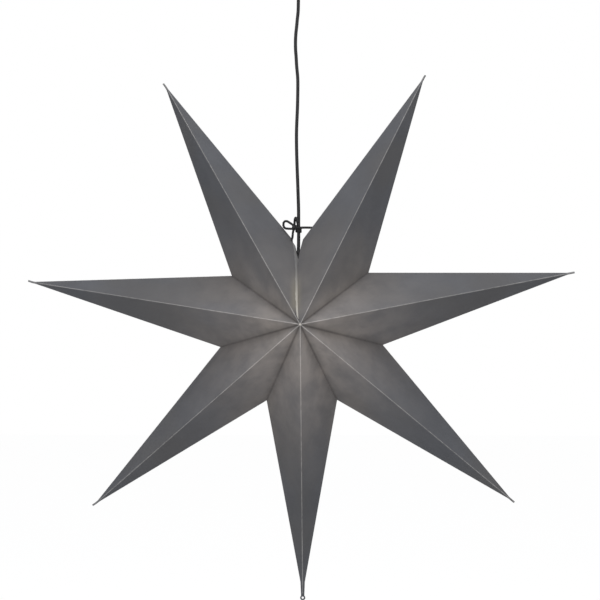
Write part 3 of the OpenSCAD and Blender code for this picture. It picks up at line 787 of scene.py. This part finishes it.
# %% String tree
graph, given = new_tree("twisted string", [
    ("Radius", "Float", 0.0012), ("Lobe depth", "Float", 0.04), ("Turn length", "Float", 0.012),
    ("Step", "Float", 0.0008), ("Material", "Material", None)])
even = graph.node("GeometryNodeResampleCurve", {"mode": "LENGTH"},
                  {"Curve": given["Geometry"], "Length": given["Step"]})
length_so_far = graph.node("GeometryNodeSplineParameter", output="Length")
twisted = graph.node("GeometryNodeSetCurveTilt", inputs={
    "Curve": even, "Tilt": length_so_far / given["Turn length"] * math.tau})
ring = graph.node("GeometryNodeCurvePrimitiveCircle", inputs={"Resolution": 18,
                                                              "Radius": given["Radius"]})
turn = graph.node("GeometryNodeSplineParameter", output="Factor") * (math.tau * 3)
swell = turn.math("COSINE", turn) * given["Lobe depth"] + (1 - given["Lobe depth"])
spot = graph.node("GeometryNodeInputPosition")
lobed = graph.vector("SCALE", spot)
graph.feed(lobed.socket.node.inputs["Scale"], swell)
outline = graph.node("GeometryNodeSetPosition", inputs={"Geometry": ring, "Position": lobed})
swept = graph.node("GeometryNodeCurveToMesh", inputs={"Curve": twisted, "Profile Curve": outline,
                                                      "Fill Caps": True})
twisted_string = close_tree(graph, swept, given["Material"])

# %% String paths
STRING_D, WRAP_D = 4.4, 1.3
BOW_LOOP = [(-6, -5.4, 174), (-10, -5.8, 177), (-14.5, -6, 180), (-18.5, -6, 182.6),
            (-22.5, -6, 183.6), (-25.8, -6, 181.6), (-26.7, -6, 177.6), (-26, -6, 173.7),
            (-23, -6, 170.7), (-17, -6, 170.0), (-11, -5.8, 169.8), (-6, -5.4, 169.6)]
SMALL_LOOP = [(-7, -5.4, 173), (-7, -5.3, 177.5), (-6.7, -5.2, 182), (-6.4, -5.3, 186),
              (-5.4, -6.2, 189.2), (-3.9, -7.7, 189.4), (-2.9, -8.5, 186.5), (-2.2, -8.2, 182.5),
              (-1.2, -7.2, 179), (-1.4, -6.2, 176), (-3.2, -5.6, 173)]
RIGHT_END = [(-4, -5.6, 171.8), (3, -5.6, 171.8), (10, -2, 172.2), (17, 2.2, 172.4),
             (22.5, 4.6, 172.4), (26.5, 5.4, 172.4)]
LEFT_END = [(-7.4, -5.6, 170.5), (-8.8, -5.7, 166.5), (-9.7, -5.6, 162.9), (-10.5, -5.4, 155),
            (-11.4, -5.6, 151.5), (-12.2, -5.8, 149.5)]
KNOT, WRAP_SHIFT, WRAP_ROOM = (-7.4, -5.4, 171.9), 0.3, 0.1
WRAP_LOW, WRAP_HIGH, WRAPS, WRAP_LINE = 164.6, 169.6, 3, 4


def winding(centre, axis, radius, start, end, turns, steps=22):
    """A helix round an axis through the centre."""
    frame_turn = Vector((0, 0, 1)).rotation_difference(Vector(axis)).to_matrix()
    count = int(turns * steps)
    line = []
    for i in range(count + 1):
        angle = math.tau * turns * i / count
        rise = start + (end - start) * i / count
        line.append(Vector(centre) + frame_turn @ Vector((
            radius * math.cos(angle), radius * math.sin(angle), rise)))
    return line


wrap_radius = CORD_D / 2 + WRAP_ROOM + WRAP_D / 2
strands = [smooth(line, 6) for line in (BOW_LOOP, SMALL_LOOP, RIGHT_END, LEFT_END)]
strands.append(winding((WRAP_SHIFT, 0, 0), (0, 0, 1), wrap_radius, WRAP_LOW, WRAP_HIGH, WRAPS))
strands.append(winding(KNOT, (1, 0, 0.3), 2.8, -2.8, 2.8, 1.6))
shares = [WRAP_D / STRING_D if i == WRAP_LINE else 1.0 for i in range(len(strands))]
string = curve_object("string_paths", [[at_holder(p) for p in line] for line in strands],
                      shares=shares)

# %% String finish
thread = Look("tie_thread", Specular_IOR_Level=0.3, Sheen_Weight=0.25, Sheen_Roughness=0.5)
fluff = thread.noise(thread.where, 1500, detail=3)
thread.set("Base Color", thread.mix(fluff, (0.008, 0.008, 0.008), (0.026, 0.026, 0.027)))
thread.set("Roughness", fluff * 0.2 + 0.7)
thread.bump(fluff, 0.5, 0.0002)
grow(string, twisted_string, Radius=STRING_D / 2 * MM, Material=thread.material)
tie = finished(string, "tie_bow", 60)
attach(tie, "root")
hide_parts("tie_string")
print(tie.name, len(tie.data.polygons), "faces")

# %% [markdown]
# ## Turned pieces
# The eyelet, the bulb and its cap are all round, so each is one outline spun about an axis. The
# outline's corners are rounded in the list itself, because a rolled eyelet or blown glass has no
# sharp edge.


# %% From corners to an object
def placed(mesh, name, place, sharp_angle):
    """A smooth-shaded object from a bmesh in mm, put in place by a matrix."""
    mesh.transform(place @ Matrix.Scale(MM, 4))
    data = bpy.data.meshes.new(name)
    mesh.to_mesh(data)
    mesh.free()
    data.shade_smooth()
    data.set_sharp_from_angle(angle=math.radians(sharp_angle))
    made = bpy.data.objects.new(name, data)
    bpy.context.scene.collection.objects.link(made)
    return made


# %% Spinning an outline
def spun(name, outline, place, closed=False, steps=64):
    """A solid of revolution from (radius, height) pairs in mm, put in place by a matrix."""
    mesh = bmesh.new()
    rings = []
    for radius, rise in outline:
        rings.append([mesh.verts.new((radius * math.cos(math.tau * i / steps),
                                      radius * math.sin(math.tau * i / steps), rise))
                      for i in range(steps)])
    pairs = list(zip(rings, rings[1:])) + ([(rings[-1], rings[0])] if closed else [])
    for a, b in pairs:
        band(mesh, a, b)
    bmesh.ops.remove_doubles(mesh, verts=mesh.verts, dist=1e-4)
    bmesh.ops.recalc_face_normals(mesh, faces=mesh.faces)
    return placed(mesh, name, place, 50)


# %% Eyelet
EYELET_HOLE_R, EYELET_T, EYELET_LIP = 2, 0.3, 0.5
eyelet_place = (Matrix.Translation(STAR_CENTRE) @ Matrix.Rotation(math.radians(BOTTOM_DIR), 4, "Y")
                @ Matrix.Translation(Vector((0, 0, EYELET_AT)) * MM)
                @ Matrix.Rotation(math.radians(90), 4, "X"))
face = TAB_T / 2
rolled = [(EYELET_HOLE_R, 0), (EYELET_HOLE_R, face)]
rolled += [(EYELET_HOLE_R + EYELET_LIP * (1 - math.cos(a)), face + EYELET_T * math.sin(a))
           for a in (0.5, 1.0, 1.57)]
rolled += [(3.4, face + EYELET_T), (4.1, face + 0.24), (4.5, face + 0.14), (EYELET_R, face + 0.02),
           (EYELET_R - 0.1, face), (EYELET_HOLE_R + EYELET_T, face)]
rolled += [(radius, -rise) for radius, rise in reversed(rolled[1:])]
eyelet = spun("eyelet", rolled, eyelet_place, closed=True)
steel = Look("eyelet_metal", Metallic=1.0)
worn = steel.noise(steel.where, 900, detail=4)
steel.set("Base Color", steel.mix(worn, (0.33, 0.33, 0.33), (0.50, 0.50, 0.49)))
steel.set("Roughness", worn * 0.25 + 0.28)
steel.bump(worn, 0.2, 0.0001)
dress(eyelet, steel)
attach(eyelet, "root")
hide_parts("tip_eyelet")

# %% [markdown]
# ## The bulb
# The bulb is frosted glass on a nickel-plated cap with a round thread. The globe and neck are one
# spun outline. The thread is a sine wave in the cap's outline that climbs as it goes round, so the
# cap is written as a grid whose radius depends on both the height and the angle.

# %% Bulb glass
GRIP_LEN, HOLDER_CAP_H, RIM_BELOW_CAP = 27, 24, 9
CAP_RIM = GRIP_TOP - GRIP_LEN - HOLDER_CAP_H - RIM_BELOW_CAP
CONTACT_H, TIP_H, BULB_CAP_H, BULB_CAP_D, BULB_D, BULB_LEN = 2, 2.5, 24, 26.4, 60, 105
bulb_top = CAP_RIM - CONTACT_H
cap_foot = bulb_top - TIP_H - BULB_CAP_H
globe_z = bulb_top - BULB_LEN + BULB_D / 2
on_cord = Matrix.Translation(Vector((0, 0, -STAR_DROP)) * MM)
globe = [(BULB_D / 2 * math.sin(math.radians(a)), globe_z + BULB_D / 2 * math.cos(math.radians(a)))
         for a in range(50, 181, 5)]
NECK_STEPS, NECK_IN, STEM_R = 12, 0.2, 9
cap_r = BULB_CAP_D / 2
neck_r, (shoulder_r, shoulder_z) = cap_r - NECK_IN, globe[0]
neck = []
for i in range(NECK_STEPS):
    t = i / NECK_STEPS
    spread = t * t * (3 - 2 * t) * (1 + t) / 2
    neck.append((neck_r + (shoulder_r - neck_r) * spread, cap_foot - (cap_foot - shoulder_z) * t))
in_cap = [(0, cap_foot + 1), (STEM_R, cap_foot + 1), (cap_r - 1, cap_foot + 0.6)]
glass = spun("bulb_glass", in_cap + neck + globe, on_cord)
frost = Look("bulb_frosted", IOR=1.5, Coat_Weight=0.15, Emission_Strength=1.0)
grain = frost.noise(frost.where, 2500, detail=2)
frost.set("Base Color", frost.mix(grain, (0.80, 0.78, 0.74), (0.88, 0.87, 0.83)))
frost.set("Roughness", grain * 0.1 + 0.35)
frost.set("Emission Color", frost.mix(frost.noise(frost.where, 12), (0.40, 0.385, 0.36),
                                      (0.48, 0.46, 0.43)))
frost.bump(grain, 0.15, 0.0001)
dress(glass, frost)
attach(glass, "root")
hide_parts("bulb")


# %% Threaded shells
ROWS_PER_TURN = 10


def threaded(name, radius, low, high, pitch, depth, wall, around=48):
    """A thin sleeve with a round thread, in mm above the star's centre, as a closed shell."""
    mesh = bmesh.new()
    count = int((high - low) / pitch * ROWS_PER_TURN)
    shells = []
    for inset in (0, wall):
        rows = []
        for i in range(count + 1):
            z = low + (high - low) * i / count
            row = []
            for j in range(around):
                a = math.tau * j / around
                groove = depth / 2 * (1 - math.cos(math.tau * (z - low) / pitch + a))
                r = radius - inset - groove
                row.append(mesh.verts.new((r * math.cos(a), r * math.sin(a), z)))
            rows.append(row)
        shells.append(rows)
    for rows, flip in zip(shells, (False, True)):
        for a, b in zip(rows, rows[1:]):
            band(mesh, a, b, flip)
    for row, flip in ((0, True), (-1, False)):
        band(mesh, shells[0][row], shells[1][row], flip)
    return placed(mesh, name, on_cord, 60)


THREAD_PITCH, THREAD_DEPTH, THREAD_WALL = 3.6, 1.1, 0.3
tip_foot = bulb_top - TIP_H
bulb_cap = threaded("bulb_cap", cap_r, cap_foot, tip_foot - 1, THREAD_PITCH, THREAD_DEPTH,
                    THREAD_WALL)
solder = [(0, bulb_top), (3.4, bulb_top), (4, bulb_top - 0.4), (5, bulb_top - 1)]
insulator = [(cap_r - 3, tip_foot), (cap_r - 1.3, tip_foot - 1), (0, tip_foot - 1)]
tip = spun("bulb_tip", solder + insulator, on_cord)
nickel = Look("bulb_cap_metal", Metallic=1.0)
streak = nickel.noise(nickel.where, 600, detail=3)
nickel.set("Base Color", nickel.mix(streak, (0.55, 0.54, 0.51), (0.68, 0.67, 0.63)))
nickel.set("Roughness", streak * 0.2 + 0.25)
nickel.bump(streak, 0.15, 0.0001)
for piece in (bulb_cap, tip):
    dress(piece, nickel)
    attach(piece, "root")
    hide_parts("bulb")
print("bulb pieces", len(glass.data.polygons), len(bulb_cap.data.polygons))

# %% [markdown]
# ## The screw sleeve
# The brass sleeve in the holder is pressed from thin sheet with the same thread, so the bulb's
# cap fits in it.

# %% Sleeve
SLEEVE_D, SLEEVE_T, SLEEVE_H, SLEEVE_DEPTH = 27.2, 0.5, 20, 0.5
sleeve = threaded("threaded_sleeve", SLEEVE_D / 2 + SLEEVE_T, CAP_RIM - SLEEVE_H, CAP_RIM - 0.1,
                  THREAD_PITCH, SLEEVE_DEPTH, THREAD_WALL)
brass = Look("contact_brass", Metallic=1.0)
tarnish = brass.noise(brass.where, 300, detail=4)
brass.set("Base Color", brass.mix(tarnish.step(0.35, 0.7), (0.72, 0.50, 0.22), (0.52, 0.36, 0.17)))
brass.set("Roughness", tarnish * 0.3 + 0.2)
brass.bump(tarnish, 0.15, 0.0001)
dress(sleeve, brass)
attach(sleeve, "root")
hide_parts("screw_sleeve")

# %% [markdown]
# ## Finishes for the solids that stay
# The lamp holder, the terminals and the ceiling fitting keep their own solids. Each gets the finish
# of its material: satin black plastic, glazed ceramic, plated steel, pale nylon, and the brown
# and blue of the wires.


# %% Plain finishes
def finish_of(name, dark, light, scale, roughness, bump, metallic=0.0, **constants):
    """A finish whose colour and gloss vary a little with one noise."""
    look = Look(name, Metallic=metallic, **constants)
    vary = look.noise(look.where, scale, detail=4)
    look.set("Base Color", look.mix(vary, dark, light))
    look.set("Roughness", vary * 0.16 + roughness)
    look.bump(vary, bump, 0.0002)
    return look


plastic = finish_of("black_plastic", (0.008, 0.008, 0.009), (0.018, 0.018, 0.019), 900, 0.42, 0.3,
                    Specular_IOR_Level=0.35)
ceramic = finish_of("insert_ceramic", (0.70, 0.69, 0.65), (0.80, 0.79, 0.76), 120, 0.18, 0.1,
                    Coat_Weight=0.3)
screw_steel = finish_of("screw_steel", (0.48, 0.48, 0.48), (0.62, 0.62, 0.61), 700, 0.24, 0.15, 1.0)
zinc = finish_of("bracket_zinc", (0.50, 0.51, 0.52), (0.66, 0.67, 0.69), 60, 0.30, 0.2, 1.0)
nylon = finish_of("block_nylon", (0.68, 0.67, 0.61), (0.78, 0.77, 0.71), 400, 0.42, 0.2)
wire = Look("wire_insulation", IOR=1.5)
vary = wire.noise(wire.where, 500, detail=3)
brown_side = wire.parts(wire.where)[0].step(-0.0001, 0.0001)
wire.set("Base Color", wire.mix(brown_side, (0.02, 0.06, 0.26), (0.16, 0.06, 0.02)))
wire.set("Roughness", vary * 0.15 + 0.35)
wire.bump(vary, 0.2, 0.0001)

STAYING = {"cord_grip": plastic, "holder_cap": plastic, "holder_skirt": plastic,
           "canopy_cup": plastic, "canopy_cord_grip": plastic, "grip_nut": plastic,
           "holder_insert": ceramic, "centre_contact": brass, "block_screws": brass,
           "terminal_screws": screw_steel, "canopy_screws": screw_steel, "ceiling_bracket": zinc,
           "terminal_block": nylon, "holder_wires": wire, "canopy_wires": wire}
for name, look in STAYING.items():
    dress(nodes[name], look)

# %% A point on the cord at the grip's top, worked out and not used
at_holder((0, 0, GRIP_TOP))

# %% [markdown]
# ## Floor, light and background
# The photograph is a cut-out on white. A pale floor far below the star keeps its shadow, and a
# soft light from above and in front makes the upward faces lighter. Camera and reflection rays
# see white, so the light itself stays at a plain level.

# %% Floor
FLOOR_Z, FLOOR_SIZE = -1.62, 16.0
FLOOR_WHITE, FLOOR_GLOW = 0.88, 1.07
floor_mesh = bpy.data.meshes.new("floor")
half = FLOOR_SIZE / 2
floor_mesh.from_pydata([(-half, -half, FLOOR_Z), (half, -half, FLOOR_Z), (half, half, FLOOR_Z),
                        (-half, half, FLOOR_Z)], [], [(0, 1, 2, 3)])
floor = bpy.data.objects.new("floor", floor_mesh)
bpy.context.scene.collection.objects.link(floor)
paper = Look("floor", Roughness=0.9)
paper.set("Base Color", paper.mix(paper.noise(paper.where, 3), (0.80, 0.80, 0.80),
                                  (0.84, 0.84, 0.84)))
rays = paper.tree.nodes.new("ShaderNodeLightPath")
seen = Wire(paper, rays.outputs["Is Camera Ray"])
white = paper.node("ShaderNodeEmission", inputs={"Color": (1, 1, 1, 1), "Strength": FLOOR_GLOW})
blend = paper.node("ShaderNodeMixShader", inputs={
    0: seen * FLOOR_WHITE, 1: Wire(paper, paper.shader.outputs[0]), 2: white})
ends = [n for n in paper.tree.nodes if n.type == "OUTPUT_MATERIAL"][0]
paper.tree.links.new(blend.socket, ends.inputs["Surface"])
dress(floor, paper)

# %% World
SKY = (0.80, 0.81, 0.84)
SKY_LEVEL = 0.52
world = bpy.data.worlds.new("studio")
bpy.context.scene.world = world
world.use_nodes = True
sky = Graph(world.node_tree)
world.node_tree.nodes.clear()
rays = world.node_tree.nodes.new("ShaderNodeLightPath")
seen = Wire(sky, rays.outputs["Is Camera Ray"])
for name in ("Is Glossy Ray", "Is Transmission Ray"):
    seen = seen.math("MAXIMUM", seen, Wire(sky, rays.outputs[name]))
soft = sky.node("ShaderNodeBackground", inputs={"Color": (*SKY, 1), "Strength": SKY_LEVEL})
white = sky.node("ShaderNodeBackground", inputs={"Color": (1, 1, 1, 1), "Strength": 1.0})
both = sky.node("ShaderNodeMixShader", inputs={0: seen, 1: soft, 2: white})
sky.node("ShaderNodeOutputWorld", inputs={"Surface": both})


# %% Lamps
def soft_lamp(name, place, size, power, colour=(1, 1, 1)):
    """A square area lamp that faces the star."""
    lamp = bpy.data.objects.new(name, bpy.data.lights.new(name, "AREA"))
    bpy.context.scene.collection.objects.link(lamp)
    lamp.data.shape, lamp.data.size = "SQUARE", size
    lamp.data.energy, lamp.data.color = power, colour
    lamp.location = place
    lamp.rotation_euler = (STAR_CENTRE - Vector(place)).to_track_quat("-Z", "Y").to_euler()


soft_lamp("top_light", (0.2, -0.9, 1.6), 2.4, 47)
soft_lamp("front_light", (-0.8, -3.4, -0.2), 2.2, 22, (0.96, 0.98, 1.0))
bpy.context.scene.view_settings.view_transform = "Standard"
